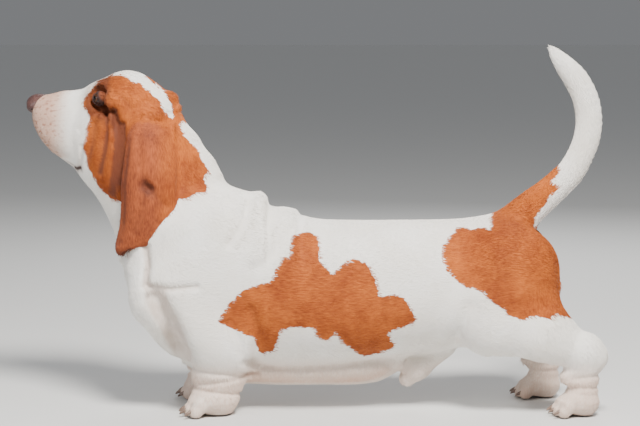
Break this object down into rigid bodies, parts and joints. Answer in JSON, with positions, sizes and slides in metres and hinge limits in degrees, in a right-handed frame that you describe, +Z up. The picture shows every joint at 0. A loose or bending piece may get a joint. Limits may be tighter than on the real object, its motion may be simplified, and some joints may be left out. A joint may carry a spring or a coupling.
{
  "type": "basset hound figure",
  "caption": "Life-size still model of a red and white basset hound standing square, head and tail raised.",
  "frame": {"origin": "on the floor under the middle of the animal's length", "axes": "-X towards the nose, +X towards the tail, +Z up from the floor, -Y the animal's left side"},
  "size_m": [1.0134, 0.2439, 0.6322],
  "materials": {
    "white_coat": "matt short fur",
    "red_coat": "matt short fur",
    "nose_leather": "satin",
    "eye": "wet gloss",
    "horn": "satin"
  },
  "bodies": {
    "root": {"claw_fore_left_1": "horn", "claw_fore_left_2": "horn", "claw_fore_left_3": "horn", "claw_fore_left_4": "horn", "claw_fore_right_1": "horn", "claw_fore_right_2": "horn", "claw_fore_right_3": "horn", "claw_fore_right_4": "horn", "claw_hind_left_1": "horn", "claw_hind_left_2": "horn", "claw_hind_left_3": "horn", "claw_hind_left_4": "horn", "claw_hind_right_1": "horn", "claw_hind_right_2": "horn", "claw_hind_right_3": "horn", "claw_hind_right_4": "horn", "dewclaw_left": "horn", "dewclaw_right": "horn", "ear_left": "red_coat", "ear_right": "red_coat", "eye_left": "eye", "eye_right": "eye", "foreleg_left": "white_coat", "foreleg_right": "white_coat", "forepaw_left": "white_coat", "forepaw_right": "white_coat", "head": "white_coat", "hindleg_left": "white_coat", "hindleg_right": "white_coat", "hindpaw_left": "white_coat", "hindpaw_right": "white_coat", "neck": "red_coat", "nose": "nose_leather", "rump": "red_coat", "tail_base": "red_coat", "tail_tip": "white_coat", "thigh_left": "red_coat", "thigh_right": "red_coat", "torso": "white_coat"}
  },
  "joints": []
}
